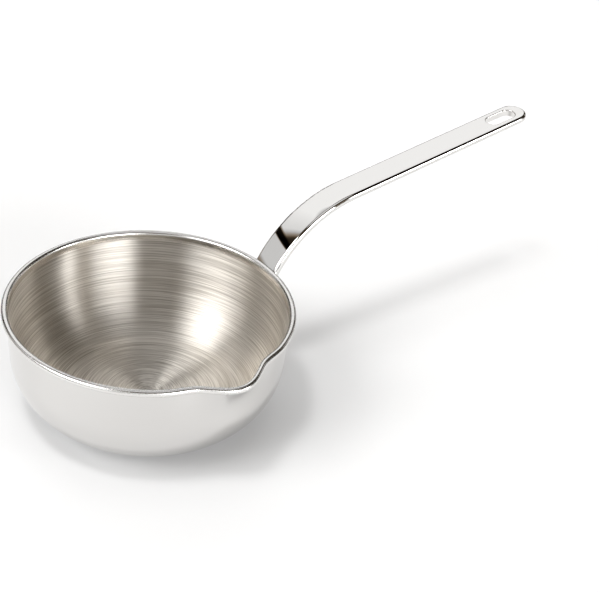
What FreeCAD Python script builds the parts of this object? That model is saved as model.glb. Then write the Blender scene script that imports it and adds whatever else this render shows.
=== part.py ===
import FreeCAD, Part
import math
import os
from FreeCAD import Vector

# A small stainless steel omelette pan: a drawn bowl with a rolled rim and a pressed pouring lip,
# a sandwich base, and a solid bar handle that is spot welded under the rim.
# Frame: the floor is z = 0 under the middle of the bowl, +X runs along the handle, +Z is up.
# Lengths are in millimetres and angles in degrees.

# Bowl
rim_radius = 70.0
pan_height = 56.9
sheet = 1.2
bead_diameter = 3.4
curl_turn = 270.0
wall_draft = 3.2
belly_radius = 34.3
heel_radius = 10.0
heel_angle = 33.0

# Pouring lip, pressed into the rim on the left of someone who holds the handle
lip_angle = -90.0
lip_half_width = 21.5
lip_reach = 6.6
lip_depth_share = 0.9
lip_dip = 0.8
lip_pinch = 0.6
pinch_start_share = 0.6
pinch_end_share = 1.6
lip_knot_spacing = 3.1

# Sandwich base
spreader_thickness = 3.0
spreader_clearance = 0.1
cap_radius = 43.0
cap_thickness = 0.6
cap_edge_radius = 1.6

# Handle
handle_width = 16.5
handle_thickness = 3.8
handle_edge_radius = 1.7
spring_angle = 60.0
crown_radius = 66.5
grip_rise = 7.5
grip_length = 129.5
slot_length = 19.5
slot_width = 8.6
slot_end_margin = 7.0
slot_edge_radius = 0.5

# Foot of the handle, welded to the wall under the rolled rim
foot_width = 24.0
foot_height = 19.0
foot_thickness = 2.8
foot_corner_radius = 6.0
foot_shoulder_radius = 7.0
foot_bend_radius = 9.0
rim_clearance = 0.15

# Spot welds between foot and wall
weld_gap = 0.3
weld_diameter = 5.0
weld_spacing_across = 12.0
weld_spacing_up = 9.0
weld_mark_depth = 0.35

# Overrun of every cut past the faces that it opens
overrun = 2.0


def turned(angle):
    """Cosine and sine of an angle in degrees."""
    return math.cos(math.radians(angle)), math.sin(math.radians(angle))


def steps(first, last, count):
    """Evenly spaced values from first to last, both included."""
    return [first + (last - first) * index / count for index in range(count + 1)]


# Middle line of the sheet, in radius and height, away from the pouring lip
half_sheet = sheet / 2
bead_radius = bead_diameter / 2
curl_radius = bead_radius - half_sheet
bowl_bottom = spreader_thickness + cap_thickness
draft_cos, draft_sin = turned(wall_draft)
draft_slope = draft_sin / draft_cos
bead_centre_radius = rim_radius - bead_radius
bead_centre_height = pan_height - bead_radius
wall_top_radius = bead_centre_radius - curl_radius * draft_cos
wall_top_height = bead_centre_height + curl_radius * draft_sin

heel_cos, heel_sin = turned(heel_angle)
heel_centre_height = bowl_bottom + heel_radius
belly_centre_height = heel_centre_height + (belly_radius - heel_radius) * heel_cos
belly_centre_radius = (
    wall_top_radius
    - (wall_top_height - belly_centre_height) * draft_slope
    - (belly_radius - half_sheet) / draft_cos
)
heel_centre_radius = belly_centre_radius + (belly_radius - heel_radius) * heel_sin

# Part of the circle that the pouring lip takes up, with the pinched rim on both sides of it
wall_foot_height = belly_centre_height - (belly_radius - half_sheet) * draft_sin
wall_length = (wall_top_height - wall_foot_height) / draft_cos
lip_depth = lip_depth_share * wall_length
lip_half_angle = math.degrees(lip_half_width / rim_radius)
lip_start = lip_angle - pinch_end_share * lip_half_angle
lip_sweep = 2 * pinch_end_share * lip_half_angle
lip_spans = round(2 * pinch_end_share * lip_half_width / lip_knot_spacing)
axis_foot = Vector(0, 0, 0)
axis_up = Vector(0, 0, 1)


def outer_wall_radius(height):
    """Outer radius of the straight wall at a height."""
    return wall_top_radius + half_sheet / draft_cos - (wall_top_height - height) * draft_slope


def curve_point(centre_radius, centre_height, radius, slope):
    """Point of a bottom curve where its tangent stands at a slope from the floor."""
    slope_cos, slope_sin = turned(slope)
    return Vector(centre_radius + radius * slope_sin, 0, centre_height - radius * slope_cos)


def curl_point(turn, distance):
    """Point of the rolled rim, after a turn of the sheet, at a distance from the roll's centre."""
    turn_cos, turn_sin = turned(180 - wall_draft - turn)
    return Vector(bead_centre_radius + distance * turn_cos, 0, bead_centre_height + distance * turn_sin)


def arc_edge(point_at, first, last):
    """Circular edge from the first to the last value of a function that gives its points."""
    return Part.Arc(point_at(first), point_at((first + last) / 2), point_at(last)).toShape()


def skin_edges(side):
    """Section of one face of the sheet, 1 outside and -1 inside, from the middle out and up.

    What goes round the whole bowl as it is comes first, then the two edges that the lip presses out:
    the top of the wall and the rolled rim.
    """
    offset = half_sheet * side
    heel = heel_radius - half_sheet + offset
    belly = belly_radius - half_sheet + offset
    curl = curl_radius - offset

    def on_heel(slope):
        return curve_point(heel_centre_radius, heel_centre_height, heel, slope)

    def on_belly(slope):
        return curve_point(belly_centre_radius, belly_centre_height, belly, slope)

    def on_curl(turn):
        return curl_point(turn, curl)

    floor_edge = on_heel(0)
    wall_foot = on_belly(90 - wall_draft)
    wall_top = on_curl(0)
    lip_root = wall_top - Vector(draft_sin, 0, draft_cos) * lip_depth
    plain = [
        Part.makeLine(Vector(0, 0, floor_edge.z), floor_edge),
        arc_edge(on_heel, 0, heel_angle),
        arc_edge(on_belly, heel_angle, 90 - wall_draft),
        Part.makeLine(wall_foot, lip_root),
    ]
    return plain, Part.makeLine(lip_root, wall_top), arc_edge(on_curl, 0, curl_turn)


def lip_press(angle):
    """How far the rim is pressed out at an angle, and the share of the lip's full press there."""
    across = abs(angle - lip_angle) / lip_half_angle
    press_share = 0.0
    pinch = 0.0
    if across < 1:
        press_share = (1 + math.cos(math.pi * across)) / 2
    if pinch_start_share < across < pinch_end_share:
        along = (across - pinch_start_share) / (pinch_end_share - pinch_start_share)
        pinch = lip_pinch * (1 - math.cos(2 * math.pi * along)) / 2
    return lip_reach * press_share - pinch, press_share


def pressed_out(pole):
    """Where a pole of the rolled rim goes: out with the lip, leaning over with the wall below it."""
    angle = math.degrees(math.atan2(pole.y, pole.x))
    reach, press_share = lip_press(angle)
    lean_cos, lean_sin = turned(math.degrees(math.atan(2 * reach / lip_depth)))
    aside = math.hypot(pole.x, pole.y) - bead_centre_radius
    above = pole.z - bead_centre_height
    radius = bead_centre_radius + reach + aside * lean_cos + above * lean_sin
    height = bead_centre_height - lip_dip * press_share + above * lean_cos - aside * lean_sin
    cos, sin = turned(angle)
    return Vector(radius * cos, radius * sin, height)


def revolved(edge, start, sweep):
    """Face that a section's edge sweeps from a start angle."""
    return edge.rotated(axis_foot, axis_up, start).revolve(axis_foot, axis_up, sweep)


def lip_face(edge, grows_from_wall):
    """Face of a section's edge across the lip. One that grows from the wall keeps all but its top poles."""
    surface = revolved(edge, lip_start, lip_sweep).toNurbs().Faces[0].Surface
    surface.increaseDegree(3, 2)
    first, last, _, _ = surface.bounds()
    knots = steps(first, last, lip_spans)[1:-1]
    surface.insertUKnots(knots, [1] * len(knots), 0.0)
    lowest_row = surface.NbVPoles if grows_from_wall else 1
    for row in range(lowest_row, surface.NbVPoles + 1):
        for column in range(1, surface.NbUPoles + 1):
            surface.setPole(column, row, pressed_out(surface.getPole(column, row)))
    return surface.toShape()


def make_bowl():
    outer_plain, outer_wall, outer_curl = skin_edges(1)
    inner_plain, inner_wall, inner_curl = skin_edges(-1)
    cut_edge = Part.makeLine(outer_curl.lastVertex().Point, inner_curl.lastVertex().Point)
    pressed = [outer_wall, outer_curl, inner_wall, inner_curl, cut_edge]
    faces = []
    for edge in outer_plain + inner_plain:
        faces.append(revolved(edge, lip_start, lip_sweep))
    for edge in pressed:
        faces.append(lip_face(edge, edge in (outer_wall, inner_wall)))
    for edge in outer_plain + inner_plain + pressed:
        faces.append(revolved(edge, lip_start, lip_sweep - 360))
    shell = Part.Shell(faces)
    shell.sewShape()
    return Part.Solid(shell).removeSplitter()


def round_bottomed_disc(radius, bottom, edge_radius):
    """Disc that reaches up to the flat bottom of the bowl, with a rounded lower edge."""
    disc = Part.makeCylinder(radius, bowl_bottom - bottom, Vector(0, 0, bottom))
    lower_edges = [edge for edge in disc.Edges if edge.BoundBox.ZMax < (bottom + bowl_bottom) / 2]
    return disc.makeFillet(edge_radius, lower_edges)


def make_base_cap():
    """Thin cup whose wall stands against the flat bottom of the bowl."""
    outside = round_bottomed_disc(cap_radius, 0, cap_edge_radius)
    inside = round_bottomed_disc(cap_radius - cap_thickness, cap_thickness, cap_edge_radius - cap_thickness)
    return outside.cut(inside)


def make_heat_spreader_disc():
    """Solid disc that fills the cup."""
    radius = cap_radius - cap_thickness - spreader_clearance
    return round_bottomed_disc(radius, cap_thickness, cap_edge_radius - cap_thickness)


# Side view of the handle, in the plane through its middle
spring_cos, spring_sin = turned(spring_angle)
rise_cos, rise_sin = turned(grip_rise)
spring_point = Vector(bead_centre_radius, 0, bead_centre_height)
crown_centre = spring_point + Vector(crown_radius * spring_sin, 0, -crown_radius * spring_cos)
lower_crown_radius = crown_radius - handle_thickness
grip_direction = Vector(rise_cos, 0, rise_sin)
grip_normal = Vector(-rise_sin, 0, rise_cos)
grip_start = crown_centre + grip_normal * crown_radius
grip_tip = grip_start + grip_direction * grip_length
end_centre = grip_tip - grip_direction * (handle_width / 2)
slot_far_centre = grip_tip - grip_direction * (slot_end_margin + slot_width / 2)
slot_near_centre = slot_far_centre - grip_direction * (slot_length - slot_width)

foot_top = bead_centre_height - bead_radius
foot_bottom = foot_top - foot_height
foot_sink = foot_width ** 2 / (4 * rim_radius)


def beside_wall(height, distance):
    """Point in the handle's middle plane at a distance outside the bowl's wall."""
    return Vector(outer_wall_radius(height) + distance / draft_cos, 0, height)


def crown_point(angle, radius):
    """Point of the bend over the rim where the handle stands at an angle from the floor."""
    cos, sin = turned(angle)
    return crown_centre + Vector(-radius * sin, 0, radius * cos)


def foot_bend():
    """Ends and middle of the bend between the foot's outer face and the underside of the handle."""
    up_wall = Vector(draft_sin, 0, draft_cos)
    out_of_wall = Vector(draft_cos, 0, -draft_sin)
    track = beside_wall(foot_top, weld_gap + foot_thickness + foot_bend_radius)
    to_crown = crown_centre - track
    along = to_crown.dot(up_wall)
    aside = to_crown.dot(out_of_wall)
    reach = lower_crown_radius - foot_bend_radius
    centre = track + up_wall * (along + math.sqrt(reach ** 2 - aside ** 2))
    on_foot = centre - out_of_wall * foot_bend_radius
    to_handle = (centre - crown_centre).normalize()
    on_handle = centre + to_handle * foot_bend_radius
    middle = centre + (to_handle - out_of_wall).normalize() * foot_bend_radius
    return on_foot, middle, on_handle


def handle_side_view():
    """Face of the bent bar, whose foot is sunk into the wall so that it can be cut to fit."""
    on_foot, bend_middle, on_handle = foot_bend()
    from_crown = on_handle - crown_centre
    lower_angle = math.degrees(math.atan2(-from_crown.x, from_crown.z))
    under = grip_normal * handle_thickness
    inner_top = beside_wall(foot_top, -foot_sink)
    inner_bottom = beside_wall(foot_bottom, -foot_sink)
    outer_bottom = beside_wall(foot_bottom, weld_gap + foot_thickness)
    crown_middle = crown_point((spring_angle + grip_rise) / 2, crown_radius)
    lower_middle = crown_point((lower_angle + grip_rise) / 2, lower_crown_radius)
    edges = [
        Part.Arc(spring_point, crown_middle, grip_start).toShape(),
        Part.makeLine(grip_start, end_centre),
        Part.makeLine(end_centre, end_centre - under),
        Part.makeLine(end_centre - under, grip_start - under),
        Part.Arc(grip_start - under, lower_middle, on_handle).toShape(),
        Part.Arc(on_handle, bend_middle, on_foot).toShape(),
        Part.makeLine(on_foot, outer_bottom),
        Part.makeLine(outer_bottom, inner_bottom),
        Part.makeLine(inner_bottom, inner_top),
        Part.makeLine(inner_top, spring_point),
    ]
    return Part.Face(Part.Wire(edges))


def handle_front_view():
    """Face seen along the handle: a wide foot that draws in to the width of the bar."""
    half_foot = foot_width / 2
    half_bar = handle_width / 2
    draw_in = (half_foot - half_bar) / 2
    shoulder_angle = math.degrees(math.acos(1 - draw_in / foot_shoulder_radius))
    shoulder_cos, shoulder_sin = turned(shoulder_angle)
    middle_cos, middle_sin = turned(shoulder_angle / 2)
    shoulder_rise = foot_shoulder_radius * shoulder_sin
    bend_in = foot_shoulder_radius * (1 - middle_cos)
    bend_rise = foot_shoulder_radius * middle_sin
    shoulder_start = foot_top - 2 * shoulder_rise
    corner_height = foot_bottom + foot_corner_radius
    corner_cos, _ = turned(45)
    corner_reach = foot_corner_radius * corner_cos
    bar_top = grip_tip.z + overrun

    def edges_on_side(side):
        def at(across, height):
            return Vector(0, side * across, height)

        return [
            Part.makeLine(at(0, foot_bottom), at(half_foot - foot_corner_radius, foot_bottom)),
            Part.Arc(
                at(half_foot - foot_corner_radius, foot_bottom),
                at(half_foot - foot_corner_radius + corner_reach, corner_height - corner_reach),
                at(half_foot, corner_height),
            ).toShape(),
            Part.makeLine(at(half_foot, corner_height), at(half_foot, shoulder_start)),
            Part.Arc(
                at(half_foot, shoulder_start),
                at(half_foot - bend_in, shoulder_start + bend_rise),
                at(half_foot - draw_in, shoulder_start + shoulder_rise),
            ).toShape(),
            Part.Arc(
                at(half_foot - draw_in, shoulder_start + shoulder_rise),
                at(half_bar + bend_in, foot_top - bend_rise),
                at(half_bar, foot_top),
            ).toShape(),
            Part.makeLine(at(half_bar, foot_top), at(half_bar, bar_top)),
            Part.makeLine(at(half_bar, bar_top), at(0, bar_top)),
        ]

    edges = edges_on_side(1) + edges_on_side(-1)
    return Part.Face(Part.Wire(Part.__sortEdges__(edges)))


def handle_blank():
    """Bent bar with a wide foot and a round end, its edges still sharp."""
    half_foot = Vector(0, foot_width / 2, 0)
    bar = handle_side_view().translated(-half_foot).extrude(half_foot * 2)
    outline = handle_front_view().extrude(Vector(grip_tip.x, 0, 0))
    end = Part.makeCylinder(
        handle_width / 2, handle_thickness, end_centre - grip_normal * handle_thickness, grip_normal
    )
    return bar.common(outline).fuse(end).removeSplitter()


def face_normal(face):
    """Normal at the middle of a face."""
    u_low, u_high, v_low, v_high = face.ParameterRange
    return face.normalAt((u_low + u_high) / 2, (v_low + v_high) / 2)


def shares_edge(face, edge):
    return any(edge.isSame(other) for other in face.Edges)


def outer_edges(blank):
    """Edges between the sides of the bar and the faces that stay in sight."""
    aligned_share = 0.01
    rim = []
    skin = []
    for face in blank.Faces:
        is_round = isinstance(face.Surface, Part.Cylinder)
        is_end = is_round and face.Surface.Axis.cross(grip_normal).Length < aligned_share
        if is_end or abs(face_normal(face).x) < aligned_share:
            rim.append(face)
        elif face.CenterOfMass.x > bead_centre_radius:
            skin.append(face)
    edges = []
    for edge in blank.Edges:
        on_rim = any(shares_edge(face, edge) for face in rim)
        on_skin = any(shares_edge(face, edge) for face in skin)
        if on_rim and on_skin:
            edges.append(edge)
    return edges


def hanging_slot():
    """Prism through the handle's end with round ends."""
    depth = grip_normal * (handle_thickness + 2 * overrun)
    low = grip_normal * (handle_thickness + overrun)
    across = Vector(0, slot_width / 2, 0)
    end_reach = grip_direction * (slot_width / 2)
    near = slot_near_centre - low
    far = slot_far_centre - low
    edges = [
        Part.makeLine(near - across, far - across),
        Part.Arc(far - across, far + end_reach, far + across).toShape(),
        Part.makeLine(far + across, near + across),
        Part.Arc(near + across, near - end_reach, near - across).toShape(),
    ]
    return Part.Face(Part.Wire(edges)).extrude(depth)


def slot_rims(handle):
    """Edges round the hanging slot on both faces of the handle."""
    middle = (slot_near_centre + slot_far_centre) / 2
    rims = []
    for edge in handle.Edges:
        from_middle = [vertex.Point - middle for vertex in edge.Vertexes]
        inside = all(
            abs(offset.dot(grip_direction)) < slot_length / 2 and abs(offset.y) < slot_width
            for offset in from_middle
        )
        depths = [offset.dot(grip_normal) for offset in from_middle]
        if inside and max(depths) - min(depths) < slot_edge_radius:
            rims.append(edge)
    return rims


def bowl_envelope():
    """Room that the wall and the rolled rim take from the handle."""
    low = foot_bottom - overrun
    wall = Part.makeCone(
        beside_wall(low, weld_gap).x,
        beside_wall(bead_centre_height, weld_gap).x,
        bead_centre_height - low,
        Vector(0, 0, low),
    )
    rim = Part.makeTorus(
        bead_centre_radius, bead_radius + rim_clearance, Vector(0, 0, bead_centre_height), Vector(0, 0, 1)
    )
    return wall.fuse(rim)


def weld_places():
    """Sideways place and height of each spot weld."""
    middle = foot_bottom + (foot_height - foot_corner_radius) / 2
    return [
        (across * weld_spacing_across / 2, middle + up * weld_spacing_up / 2)
        for across in (-1, 1)
        for up in (-1, 1)
    ]


def make_handle():
    blank = handle_blank()
    handle = blank.makeFillet(handle_edge_radius, outer_edges(blank))
    handle = handle.cut(hanging_slot())
    handle = handle.makeFillet(slot_edge_radius, slot_rims(handle))
    handle = handle.cut(bowl_envelope())
    mark_radius = ((weld_diameter / 2) ** 2 + weld_mark_depth ** 2) / (2 * weld_mark_depth)
    for across, height in weld_places():
        centre = beside_wall(height, weld_gap + foot_thickness + mark_radius - weld_mark_depth)
        handle = handle.cut(Part.makeSphere(mark_radius, centre + Vector(0, across, 0)))
    return handle


def make_handle_spot_welds():
    """Nuggets that fill the gap between the foot and the wall."""
    low = foot_bottom
    rise = foot_top - foot_bottom
    gap = Part.makeCone(beside_wall(low, weld_gap).x, beside_wall(foot_top, weld_gap).x, rise, Vector(0, 0, low))
    wall = Part.makeCone(beside_wall(low, 0).x, beside_wall(foot_top, 0).x, rise, Vector(0, 0, low))
    gap = gap.cut(wall)
    nuggets = []
    for across, height in weld_places():
        rod = Part.makeCylinder(weld_diameter / 2, rim_radius, Vector(0, across, height), Vector(1, 0, 0))
        nuggets.append(gap.common(rod).Solids[0])
    return Part.makeCompound(nuggets)


shapes = {
    "bowl": make_bowl(),
    "heat_spreader_disc": make_heat_spreader_disc(),
    "base_cap": make_base_cap(),
    "handle": make_handle(),
    "handle_spot_welds": make_handle_spot_welds(),
}

os.makedirs("parts", exist_ok=True)
for node, shape in shapes.items():
    shape.exportStep("parts/" + node + ".step")
    print(node, shape.isValid(), round(shape.Volume, 1), len(shape.Solids), len(shape.Faces))
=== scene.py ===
import math
import bpy
from mathutils import Matrix, Vector


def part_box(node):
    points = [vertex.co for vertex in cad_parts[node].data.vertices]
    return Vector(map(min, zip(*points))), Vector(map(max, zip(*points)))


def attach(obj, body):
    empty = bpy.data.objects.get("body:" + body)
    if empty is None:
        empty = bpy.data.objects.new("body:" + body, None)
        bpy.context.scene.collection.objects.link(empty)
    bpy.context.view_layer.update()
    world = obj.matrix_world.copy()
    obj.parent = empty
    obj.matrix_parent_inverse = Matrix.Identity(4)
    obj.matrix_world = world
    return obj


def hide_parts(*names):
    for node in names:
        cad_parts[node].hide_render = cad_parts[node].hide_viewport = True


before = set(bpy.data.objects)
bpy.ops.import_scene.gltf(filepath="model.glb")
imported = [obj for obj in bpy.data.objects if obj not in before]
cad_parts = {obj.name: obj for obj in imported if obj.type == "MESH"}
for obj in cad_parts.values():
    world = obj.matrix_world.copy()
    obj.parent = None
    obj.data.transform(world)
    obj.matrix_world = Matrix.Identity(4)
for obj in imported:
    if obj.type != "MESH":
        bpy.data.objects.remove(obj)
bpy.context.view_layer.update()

# Sizes of the bowl in metres and degrees, as the solid has them
MM = 0.001
RIM_RADIUS = 70.0 * MM
PAN_HEIGHT = 56.9 * MM
SHEET = 1.2 * MM
BEAD_RADIUS = 1.7 * MM
CURL_TURN = 270.0
WALL_DRAFT = 3.2
BELLY_RADIUS = 34.3 * MM
HEEL_RADIUS = 10.0 * MM
HEEL_ANGLE = 33.0
BOWL_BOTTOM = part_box("bowl")[0].z

# The pouring lip, and the slight pinch of the rim on both sides of it
LIP_ANGLE = -90.0
LIP_HALF_WIDTH = 21.5 * MM
LIP_REACH = 6.6 * MM
LIP_DEPTH_SHARE = 0.9
LIP_DIP = 0.8 * MM
LIP_PINCH = 0.6 * MM
PINCH_START_SHARE = 0.6
PINCH_END_SHARE = 1.6

# Mesh density of the bowl
COLUMNS = 360
CURVE_STEPS = 14
WALL_STEPS = 22
CURL_STEPS = 20
FLOOR_STEPS = 8

# The finishes of the bowl, by the place of their materials on it
POLISHED, SATIN, RIM = range(3)

# Heights between which the satin inside turns to polish under the rim
POLISH_START = 50.5 * MM
POLISH_END = 54.5 * MM

# Roughness of that polish
POLISH_ROUGHNESS = 0.16

# Colours of the lines inside, and the share of the fine ones among them
LINE_DARK = (0.54, 0.50, 0.447, 1.0)
LINE_PALE = (0.94, 0.905, 0.85, 1.0)
FINE_SHARE = 0.4

# Turn that lays the stretched gloss across the lines of turning, as a share of a full turn
ACROSS_LINES = 0.25

# Radius of the slight camber that polishing leaves on the handle's flat faces
CAMBER = 190.0 * MM

# Camera, fitted to the rim, belly and handle in the photograph
CAMERA_PLACE = (-0.3056, -0.4443, 0.4139)
CAMERA_AZIMUTH = -42.02
CAMERA_ELEVATION = 32.74
CAMERA_ROLL = 6.11
CAMERA_LENS = 81.0
CAMERA_SENSOR = 36.0
CAMERA_NEAR = 0.01

# Soft boxes round the pan: their brightness by compass angle in degrees
STUDIO_ROUND = [
    (0, 0.03), (24, 0.03), (34, 1.15), (98, 1.15), (120, 0.9), (127, 0.03), (144, 0.03), (151, 4.5),
    (160, 6.0), (178, 6.8), (191, 4.6), (203, 1.0), (211, 0.08), (298, 0.08), (314, 0.03), (360, 0.03),
]

# Sine of the height at which they begin, by compass angle, over the dark room behind them
STUDIO_FOOT = [
    (0, 0.15), (24, 0.2), (34, 0.3), (86, 0.3), (94, 0.55), (128, 0.55), (142, 0.38), (205, 0.38),
    (240, 0.3), (290, 0.3), (320, 0.2), (360, 0.15),
]

# How far that edge is blurred, and the share of their light below it
FOOT_BLUR = 0.05
FOOT_SHARE = 0.015

# Where they end under the dark ceiling, by the sine of the height
STUDIO_TOP = [(0.79, 1.0), (0.82, 0.02)]

# Round soft box overhead, by the sine of the height
OVERHEAD = [(0.9, 0.0), (0.93, 0.75)]

# Low upright strip lights, by the sine of the height and by compass angle
STRIPS_UP = [(0.1, 0.0), (0.14, 1.0), (0.36, 1.0), (0.46, 0.0)]
STRIPS_ROUND = [
    (0, 0.7), (5, 0.7), (10, 0.0), (190, 0.0), (198, 2.0), (206, 1.2), (215, 0.7), (226, 1.4), (240, 0.9),
    (247, 0.5), (254, 11.0), (263, 12.5), (274, 11.0), (282, 7.0), (287, 0.3), (296, 0.3), (299, 1.2),
    (304, 13.0), (308, 13.0), (313, 0.8), (322, 0.8), (328, 0.0), (350, 0.0), (356, 0.7), (360, 0.7),
]

# Low white panel at the left with a dark gap above it, by the sine of the height and by compass angle
PANEL_UP = [(0.06, 0.0), (0.1, 0.4), (0.27, 0.4), (0.3, 1.0), (0.53, 1.0), (0.54, 0.0)]
PANEL_ROUND = [(111, 0.0), (117, 0.75), (141, 0.75), (146, 0.0)]
GAP_UP = [(0.54, 0.0), (0.55, 1.0), (0.59, 1.0), (0.61, 0.0)]
GAP_ROUND = [(95, 0.0), (105, 0.98), (158, 0.98), (165, 0.0)]

# Plain white, of the lights and of the floor's glow
WHITE = (1.0, 1.0, 1.0, 1.0)

# Colour of the dim room, which shows between the lights, and the levels between which it turns white
ROOM_TINT = (1.0, 0.74, 0.48, 1.0)
TINT_START = 0.1
TINT_END = 0.6

# Key lamp high over the pan: its place, what it looks at, its width in metres and its power in watts
KEY_PLACE = (-0.52, -0.05, 1.857)
KEY_TARGET = (0.03, 0.0, 0.04)
KEY_WIDTH = 0.3
KEY_POWER = 7.5

# Floor: how far it goes each way, its colour, and the white added to it where it is seen
FLOOR_REACH = 12.0
FLOOR_COLOUR = (0.86, 0.86, 0.86, 1.0)
FLOOR_GLOW = 0.15


def turned(angle):
    """Cosine and sine of an angle in degrees."""
    return math.cos(math.radians(angle)), math.sin(math.radians(angle))


def steps(first, last, count):
    """Evenly spaced values from first to last, both included."""
    return [first + (last - first) * index / count for index in range(count + 1)]


# Middle line of the bowl's sheet
half_sheet = SHEET / 2
curl_radius = BEAD_RADIUS - half_sheet
draft_cos, draft_sin = turned(WALL_DRAFT)
draft_slope = draft_sin / draft_cos
bead_centre_radius = RIM_RADIUS - BEAD_RADIUS
bead_centre_height = PAN_HEIGHT - BEAD_RADIUS
wall_top_radius = bead_centre_radius - curl_radius * draft_cos
wall_top_height = bead_centre_height + curl_radius * draft_sin
heel_cos, heel_sin = turned(HEEL_ANGLE)
heel_centre_height = BOWL_BOTTOM + HEEL_RADIUS
belly_centre_height = heel_centre_height + (BELLY_RADIUS - HEEL_RADIUS) * heel_cos
belly_centre_radius = (
    wall_top_radius
    - (wall_top_height - belly_centre_height) * draft_slope
    - (BELLY_RADIUS - half_sheet) / draft_cos
)
heel_centre_radius = belly_centre_radius + (BELLY_RADIUS - HEEL_RADIUS) * heel_sin
wall_foot_height = belly_centre_height - (BELLY_RADIUS - half_sheet) * draft_sin
wall_length = (wall_top_height - wall_foot_height) / draft_cos
lip_depth = LIP_DEPTH_SHARE * wall_length
lip_half_angle = math.degrees(LIP_HALF_WIDTH / RIM_RADIUS)


def curve_point(centre_radius, centre_height, radius, slope):
    """Radius and height of a bottom curve where its tangent stands at a slope from the floor."""
    slope_cos, slope_sin = turned(slope)
    return centre_radius + radius * slope_sin, centre_height - radius * slope_cos


def curl_point(turn, distance):
    """Radius and height of the rolled rim, after a turn of the sheet, at a distance from its centre."""
    turn_cos, turn_sin = turned(180 - WALL_DRAFT - turn)
    return bead_centre_radius + distance * turn_cos, bead_centre_height + distance * turn_sin


def lip_press(angle):
    """How far the rim is pressed out at an angle, and the share of the lip's full press there."""
    away = (angle - LIP_ANGLE + 180) % 360 - 180
    across = abs(away) / lip_half_angle
    press_share = 0.0
    pinch = 0.0
    if across < 1:
        press_share = (1 + math.cos(math.pi * across)) / 2
    if PINCH_START_SHARE < across < PINCH_END_SHARE:
        along = (across - PINCH_START_SHARE) / (PINCH_END_SHARE - PINCH_START_SHARE)
        pinch = LIP_PINCH * (1 - math.cos(2 * math.pi * along)) / 2
    return LIP_REACH * press_share - pinch, press_share


def pressed_out(point, angle):
    """Where a point of the rolled rim goes: out with the lip, leaning over with the wall below it."""
    reach, press_share = lip_press(angle)
    lean_cos, lean_sin = turned(math.degrees(math.atan(2 * reach / lip_depth)))
    aside = point[0] - bead_centre_radius
    above = point[1] - bead_centre_height
    radius = bead_centre_radius + reach + aside * lean_cos + above * lean_sin
    height = bead_centre_height - LIP_DIP * press_share + above * lean_cos - aside * lean_sin
    return radius, height


def skin_stations(side):
    """Stations of one face of the sheet, 1 outside and -1 inside, from the middle out and up.

    Each is a function from an angle to radius and height. The height of the flat bottom comes with them.
    """
    offset = half_sheet * side
    heel = HEEL_RADIUS - half_sheet + offset
    belly = BELLY_RADIUS - half_sheet + offset
    curl = curl_radius - offset
    top = curl_point(0, curl)
    stations = []

    def keep(point):
        """Station that the lip leaves as it is."""
        stations.append(lambda angle: point)

    def on_wall(share):
        """Station at a share of the wall's length, which the lip presses out more towards the top."""
        below = wall_length * (1 - share)
        rest = (top[0] - below * draft_sin, top[1] - below * draft_cos)
        grow = max(0.0, 1 - below / lip_depth) ** 2

        def place(angle):
            moved = pressed_out(top, angle)
            return rest[0] + grow * (moved[0] - top[0]), rest[1] + grow * (moved[1] - top[1])

        stations.append(place)

    def on_curl(turn):
        """Station of the rolled rim, after a turn of the sheet."""
        point = curl_point(turn, curl)
        stations.append(lambda angle: pressed_out(point, angle))

    floor_radius, floor_height = curve_point(heel_centre_radius, heel_centre_height, heel, 0)
    for radius in steps(0, floor_radius, FLOOR_STEPS)[1:-1]:
        keep((radius, floor_height))
    for slope in steps(0, HEEL_ANGLE, CURVE_STEPS):
        keep(curve_point(heel_centre_radius, heel_centre_height, heel, slope))
    for slope in steps(HEEL_ANGLE, 90 - WALL_DRAFT, CURVE_STEPS * 2)[1:]:
        keep(curve_point(belly_centre_radius, belly_centre_height, belly, slope))
    for share in steps(0, 1, WALL_STEPS)[1:]:
        on_wall(share)
    for turn in steps(0, CURL_TURN, CURL_STEPS)[1:]:
        on_curl(turn)
    return stations, floor_height


def link(name, data):
    """Object of a mesh, lamp or camera, in the scene."""
    piece = bpy.data.objects.new(name, data)
    bpy.context.scene.collection.objects.link(piece)
    return piece


def make_bowl(polished, satin, rim):
    """Bowl as one closed skin, nearly all quads: up the outside, round the rolled rim and down the inside."""
    outer, outer_floor = skin_stations(1)
    inner, inner_floor = skin_stations(-1)
    path = outer + inner[::-1]
    angles = [360 * column / COLUMNS for column in range(COLUMNS)]
    points = [(0, 0, outer_floor), (0, 0, inner_floor)]
    for place in path:
        for angle in angles:
            radius, height = place(angle)
            cos, sin = turned(angle)
            points.append((radius * cos, radius * sin, height))
    faces = []
    finishes = []
    rim_start = len(outer)
    rim_end = rim_start + CURL_STEPS
    last = len(path) - 1

    def vertex(row, column):
        """Number of the point in a row and column of the skin, after the two middle points."""
        return 2 + row * COLUMNS + column % COLUMNS

    for column in range(COLUMNS):
        faces.append((0, vertex(0, column + 1), vertex(0, column)))
        finishes.append(POLISHED)
        faces.append((1, vertex(last, column), vertex(last, column + 1)))
        finishes.append(SATIN)
    for row in range(last):
        finish = POLISHED
        if row >= rim_start:
            finish = RIM
        if row >= rim_end:
            finish = SATIN
        for column in range(COLUMNS):
            near = (vertex(row, column), vertex(row, column + 1))
            far = (vertex(row + 1, column + 1), vertex(row + 1, column))
            faces.append(near + far)
            finishes.append(finish)
    mesh = bpy.data.meshes.new("bowl_skin")
    mesh.from_pydata(points, [], faces)
    for material in (polished, satin, rim):
        mesh.materials.append(material)
    mesh.polygons.foreach_set("material_index", finishes)
    mesh.polygons.foreach_set("use_smooth", [True] * len(faces))
    mesh.update()
    bowl = link("bowl_skin", mesh)
    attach(bowl, "root")
    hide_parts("bowl")


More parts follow.
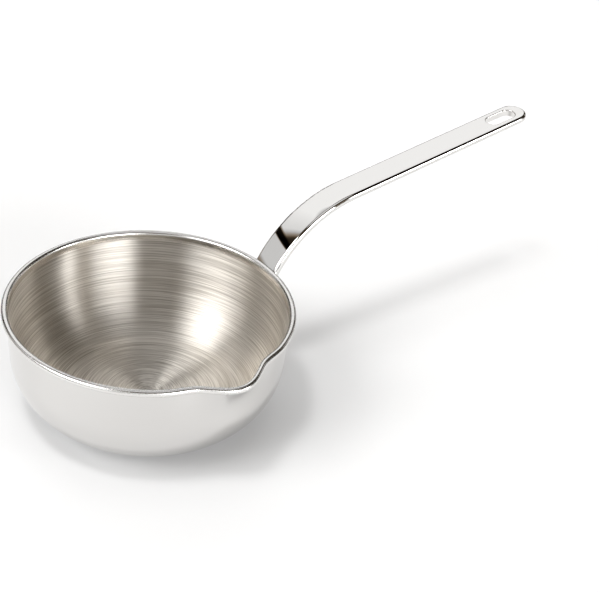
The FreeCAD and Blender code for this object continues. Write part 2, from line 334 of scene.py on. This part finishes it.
class Tree:
    """Short way to add and join the nodes of a tree."""

    def __init__(self, tree):
        self.tree = tree

    def add(self, kind, **settings):
        """New node with some settings."""
        node = self.tree.nodes.new(kind)
        for key, value in settings.items():
            setattr(node, key, value)
        return node

    def join(self, output, target):
        """Link from an output to an input."""
        self.tree.links.new(output, target)

    def put(self, value, target):
        """Sets an input to a number, or links an output to it."""
        if isinstance(value, (int, float)):
            target.default_value = value
        else:
            self.join(value, target)

    def math(self, operation, *values):
        """Result of an operation on numbers and outputs."""
        node = self.add("ShaderNodeMath", operation=operation)
        for target, value in zip(node.inputs, values):
            self.put(value, target)
        return node.outputs[0]

    def times(self, first, second):
        """Product of two numbers or outputs."""
        return self.math("MULTIPLY", first, second)

    def spread(self, value, low, high, from_low=0.0, from_high=1.0):
        """Maps a value from one range to another."""
        node = self.add("ShaderNodeMapRange")
        self.put(value, node.inputs["Value"])
        self.put(from_low, node.inputs["From Min"])
        self.put(from_high, node.inputs["From Max"])
        self.put(low, node.inputs["To Min"])
        self.put(high, node.inputs["To Max"])
        return node.outputs["Result"]

    def ramp(self, value, stops):
        """Grey ramp, from pairs of place and value."""
        node = self.add("ShaderNodeValToRGB")
        elements = node.color_ramp.elements
        while len(elements) < len(stops):
            elements.new(0.5)
        for element, (place, level) in zip(elements, stops):
            element.position = place
            element.color = (level, level, level, 1.0)
        self.join(value, node.inputs[0])
        return node.outputs["Color"]

    def compass_ramp(self, compass, stops):
        """Grey ramp over the full circle, from pairs of degrees and value."""
        return self.ramp(compass, [(degrees / 360, level) for degrees, level in stops])

    def colours(self, factor, first, second):
        """Colour that goes from one to another."""
        node = self.add("ShaderNodeMix", data_type="RGBA")
        self.join(factor, node.inputs["Factor"])
        node.inputs["A"].default_value = first
        node.inputs["B"].default_value = second
        return node.outputs["Result"]

    def axes(self, place):
        """The three coordinates of a place."""
        split = self.add("ShaderNodeSeparateXYZ")
        self.join(place, split.inputs[0])
        return split.outputs


class Nodes(Tree):
    """Nodes of a material, with the parts that the finishes share."""

    def __init__(self, name):
        self.material = bpy.data.materials.new(name)
        self.material.use_nodes = True
        super().__init__(self.material.node_tree)
        self.shader = self.tree.nodes["Principled BSDF"]

    def place(self):
        """Where a point lies on the part."""
        return self.add("ShaderNodeTexCoord").outputs["Object"]

    def around(self, round_scale, up_scale):
        """Coordinates that run round the pan's axis, for marks of turning and brushing."""
        x, y, z = self.axes(self.place())
        angle = self.math("ARCTAN2", y, x)
        radius = self.math("SQRT", self.math("ADD", self.times(x, x), self.times(y, y)))
        turn = self.add("ShaderNodeCombineXYZ")
        self.join(self.times(self.math("COSINE", angle), round_scale), turn.inputs[0])
        self.join(self.times(self.math("SINE", angle), round_scale), turn.inputs[1])
        self.join(self.times(self.math("ADD", z, radius), up_scale), turn.inputs[2])
        return turn.outputs[0]

    def noise(self, vector, detail, scale=1.0):
        """Uneven value, from 0 to 1."""
        node = self.add("ShaderNodeTexNoise")
        node.inputs["Scale"].default_value = scale
        node.inputs["Detail"].default_value = detail
        self.join(vector, node.inputs["Vector"])
        return node.outputs["Fac"]

    def roughness(self, value, low, high):
        """Gives the surface a roughness that follows a value from 0 to 1."""
        self.join(self.spread(value, low, high), self.shader.inputs["Roughness"])

    def bump(self, height, strength, distance):
        """Gives the surface small marks of a height."""
        node = self.add("ShaderNodeBump")
        self.put(strength, node.inputs["Strength"])
        node.inputs["Distance"].default_value = distance
        self.join(height, node.inputs["Height"])
        self.join(node.outputs["Normal"], self.shader.inputs["Normal"])

    def stretch(self, amount):
        """Stretches the gloss, as lines of turning do."""
        self.shader.inputs["Anisotropic"].default_value = amount
        self.shader.inputs["Anisotropic Rotation"].default_value = ACROSS_LINES
        tangent = self.add("ShaderNodeTangent", direction_type="RADIAL", axis="Z")
        self.join(tangent.outputs[0], self.shader.inputs["Tangent"])


def metal(name):
    """Bare metal."""
    nodes = Nodes(name)
    nodes.shader.inputs["Metallic"].default_value = 1.0
    return nodes


def plain_metal(name, colour):
    """Bare metal with one colour all over."""
    nodes = metal(name)
    nodes.shader.inputs["Base Color"].default_value = (*colour, 1.0)
    return nodes


def polished_steel():
    """Mirror polish with faint wiping haze and hairline marks."""
    nodes = plain_metal("polished_steel", colour=(0.69, 0.68, 0.665))
    haze = nodes.noise(nodes.place(), detail=3.0, scale=55.0)
    nodes.roughness(haze, low=0.01, high=0.04)
    lines = nodes.noise(nodes.around(round_scale=6.0, up_scale=2600.0), detail=1.0)
    nodes.bump(lines, strength=0.05, distance=0.02 * MM)
    return nodes.material


def rim_steel():
    """Rolled rim, buffed to a soft sheen."""
    nodes = plain_metal("rim_steel", colour=(0.76, 0.75, 0.735))
    haze = nodes.noise(nodes.place(), detail=3.0, scale=90.0)
    nodes.roughness(haze, low=0.22, high=0.3)
    lines = nodes.noise(nodes.around(round_scale=3.0, up_scale=3000.0), detail=1.0)
    nodes.bump(lines, strength=0.05, distance=0.02 * MM)
    return nodes.material


def satin_steel():
    """Inside of the bowl: turned satin with fine lines round the axis, polished towards the rim."""
    nodes = metal("satin_steel")
    nodes.stretch(amount=1.0)
    fine = nodes.noise(nodes.around(round_scale=2.0, up_scale=2400.0), detail=2.0)
    coarse = nodes.noise(nodes.around(round_scale=1.1, up_scale=1200.0), detail=3.0)
    lines = nodes.math("ADD", nodes.times(fine, FINE_SHARE), nodes.times(coarse, 1 - FINE_SHARE))
    pale = nodes.spread(lines, low=0.0, high=1.0, from_low=0.38, from_high=0.62)
    nodes.join(nodes.colours(pale, LINE_DARK, LINE_PALE), nodes.shader.inputs["Base Color"])
    height = nodes.axes(nodes.place())["Z"]
    polish = nodes.spread(height, low=0.0, high=1.0, from_low=POLISH_START, from_high=POLISH_END)
    satin = nodes.spread(coarse, low=0.38, high=0.47, from_low=0.3, from_high=0.7)
    nodes.join(nodes.spread(polish, satin, POLISH_ROUGHNESS), nodes.shader.inputs["Roughness"])
    nodes.bump(lines, strength=nodes.spread(polish, low=0.5, high=0.02), distance=0.08 * MM)
    return nodes.material


def handle_steel():
    """Mirror polish of the handle, whose flat faces are slightly cambered by polishing."""
    nodes = plain_metal("handle_polish", colour=(0.74, 0.73, 0.715))
    haze = nodes.noise(nodes.place(), detail=3.0, scale=55.0)
    nodes.roughness(haze, low=0.01, high=0.035)
    # A camber falls off by half the square of the way from its middle, over its radius
    aside = nodes.axes(nodes.place())["Y"]
    camber = nodes.times(nodes.times(aside, aside), -0.5 / CAMBER)
    nodes.bump(camber, strength=1.0, distance=1.0)
    return nodes.material


def base_steel():
    """Underside: coarser turning marks."""
    nodes = plain_metal("base_steel", colour=(0.72, 0.715, 0.70))
    nodes.stretch(amount=0.6)
    lines = nodes.noise(nodes.around(round_scale=1.5, up_scale=1800.0), detail=2.0)
    nodes.roughness(lines, low=0.24, high=0.42)
    nodes.bump(lines, strength=0.3, distance=0.05 * MM)
    return nodes.material


def dull_metal(name, colour):
    """Metal that is closed in: the edge of the heat spreader and the welds."""
    nodes = plain_metal(name, colour)
    grain = nodes.noise(nodes.place(), detail=3.0, scale=900.0)
    nodes.roughness(grain, low=0.32, high=0.5)
    nodes.bump(grain, strength=0.2, distance=0.05 * MM)
    return nodes.material


def finish_node(node, material):
    """Gives a CAD node its material."""
    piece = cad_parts[node]
    piece.data.materials.clear()
    piece.data.materials.append(material)


def make_floor():
    """Wide white floor that keeps the pan's shadow."""
    corners = [
        (-FLOOR_REACH, -FLOOR_REACH, 0),
        (FLOOR_REACH, -FLOOR_REACH, 0),
        (FLOOR_REACH, FLOOR_REACH, 0),
        (-FLOOR_REACH, FLOOR_REACH, 0),
    ]
    mesh = bpy.data.meshes.new("floor")
    mesh.from_pydata(corners, [], [(0, 1, 2, 3)])
    nodes = Nodes("floor_white")
    nodes.shader.inputs["Base Color"].default_value = FLOOR_COLOUR
    nodes.shader.inputs["Roughness"].default_value = 0.6
    nodes.shader.inputs["Specular IOR Level"].default_value = 0.2
    path = nodes.add("ShaderNodeLightPath")
    seen = nodes.math("MAXIMUM", path.outputs["Is Camera Ray"], path.outputs["Is Glossy Ray"])
    seen = nodes.math("MAXIMUM", seen, path.outputs["Is Transmission Ray"])
    nodes.shader.inputs["Emission Color"].default_value = WHITE
    nodes.join(nodes.times(seen, FLOOR_GLOW), nodes.shader.inputs["Emission Strength"])
    mesh.materials.append(nodes.material)
    floor = link("floor", mesh)


def make_world():
    """Studio of soft boxes with dark gaps, which the polished steel reflects."""
    world = bpy.data.worlds.new("studio")
    bpy.context.scene.world = world
    world.use_nodes = True
    tree = Tree(world.node_tree)
    background = world.node_tree.nodes["Background"]
    x, y, z = tree.axes(tree.add("ShaderNodeTexCoord").outputs["Generated"])
    compass = tree.math("FRACT", tree.math("DIVIDE", tree.math("ARCTAN2", y, x), 2 * math.pi))

    def patch(up, round_about):
        """Light of a patch of the studio, from its ramps over the height and the compass."""
        return tree.times(tree.ramp(z, up), tree.compass_ramp(compass, round_about))

    foot = tree.compass_ramp(compass, STUDIO_FOOT)
    foot_end = tree.math("ADD", foot, FOOT_BLUR)
    above = tree.spread(z, low=FOOT_SHARE, high=1.0, from_low=foot, from_high=foot_end)
    boxes = tree.times(patch(STUDIO_TOP, STUDIO_ROUND), above)
    boxes = tree.math("ADD", boxes, patch(PANEL_UP, PANEL_ROUND))
    boxes = tree.times(boxes, tree.math("SUBTRACT", 1.0, patch(GAP_UP, GAP_ROUND)))
    light = tree.math("ADD", boxes, patch(STRIPS_UP, STRIPS_ROUND))
    light = tree.math("ADD", light, tree.ramp(z, OVERHEAD))
    tree.join(light, background.inputs["Strength"])
    bright = tree.spread(light, low=0.0, high=1.0, from_low=TINT_START, from_high=TINT_END)
    tree.join(tree.colours(bright, ROOM_TINT, WHITE), background.inputs["Color"])


def make_key_lamp():
    """Lamp that draws the shadow. The steel reflects the studio's lights and not this lamp."""
    data = bpy.data.lights.new("key_box", "AREA")
    data.size = KEY_WIDTH
    data.energy = KEY_POWER
    lamp = link("key_box", data)
    lamp.location = KEY_PLACE
    lamp.visible_glossy = False
    lamp.rotation_mode = "QUATERNION"
    lamp.rotation_quaternion = (Vector(KEY_TARGET) - Vector(KEY_PLACE)).to_track_quat("-Z", "Y")


def make_camera():
    """Camera at the photograph's place, with its roll."""
    azimuth_cos, azimuth_sin = turned(CAMERA_AZIMUTH)
    elevation_cos, elevation_sin = turned(CAMERA_ELEVATION)
    roll_cos, roll_sin = turned(CAMERA_ROLL)
    back = Vector((azimuth_sin * elevation_cos, -azimuth_cos * elevation_cos, elevation_sin))
    level = Vector((0, 0, 1)).cross(back).normalized()
    upright = back.cross(level)
    right = level * roll_cos + upright * roll_sin
    above = upright * roll_cos - level * roll_sin
    data = bpy.data.cameras.new("camera")
    data.lens = CAMERA_LENS
    data.sensor_width = CAMERA_SENSOR
    data.clip_start = CAMERA_NEAR
    camera = link("camera", data)
    turn = Matrix((right, above, back)).transposed().to_4x4()
    camera.matrix_world = Matrix.Translation(Vector(CAMERA_PLACE)) @ turn
    bpy.context.scene.camera = camera


make_bowl(polished_steel(), satin_steel(), rim_steel())
finish_node("handle", handle_steel())
finish_node("base_cap", base_steel())
finish_node("heat_spreader_disc", dull_metal("bare_aluminium", (0.80, 0.80, 0.81)))
finish_node("handle_spot_welds", dull_metal("weld_steel", (0.55, 0.53, 0.50)))
make_floor()
make_world()
make_key_lamp()
make_camera()
bpy.context.scene.view_settings.view_transform = "Standard"

# Mirrored light on the floor shows as bright specks, so it is left out
bpy.context.scene.cycles.caustics_reflective = False
